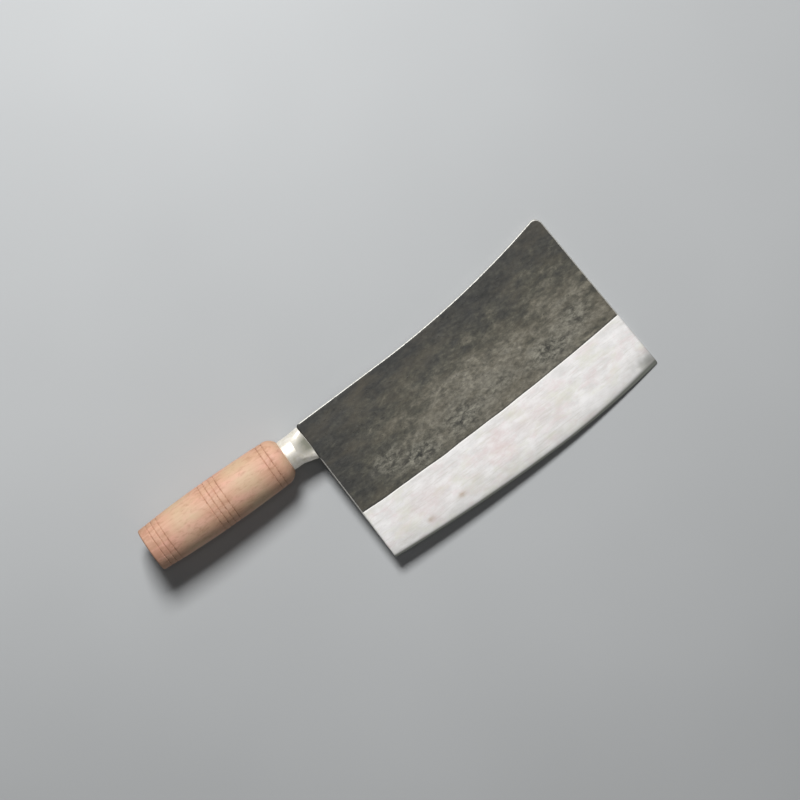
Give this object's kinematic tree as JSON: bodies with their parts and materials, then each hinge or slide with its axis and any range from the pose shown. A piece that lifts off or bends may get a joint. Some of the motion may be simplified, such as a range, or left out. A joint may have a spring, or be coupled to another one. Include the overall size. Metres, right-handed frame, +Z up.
{
  "type": "meat cleaver",
  "caption": "Broad forged meat cleaver: black-scaled blade with a bright ground band, pinched metal collar and a turned wooden barrel handle, lying flat.",
  "frame": {"origin": "on the table, under the middle of the knife's box", "axes": "+X from the butt of the handle to the far end of the blade, +Y from the cutting edge to the spine, +Z up from the table; the knife lies on its side at its natural tilt of about 3.4 degrees"},
  "size_m": [0.332, 0.1272, 0.0363],
  "materials": {
    "forged_iron": "black forge scale on the flats, ground bright along the band",
    "edge_steel": "bright ground steel",
    "collar_metal": "bright pinched sheet metal",
    "turned_wood": "bare turned wood with cut rings",
    "pitch": "dull dark pitch",
    "washer_steel": "plain worn steel"
  },
  "bodies": {
    "root": {"blade_body": "forged_iron", "edge_steel": "edge_steel", "neck_ferrule": "collar_metal", "handle_grip": "turned_wood", "tang_bedding": "pitch", "butt_washer": "washer_steel"}
  },
  "joints": []
}
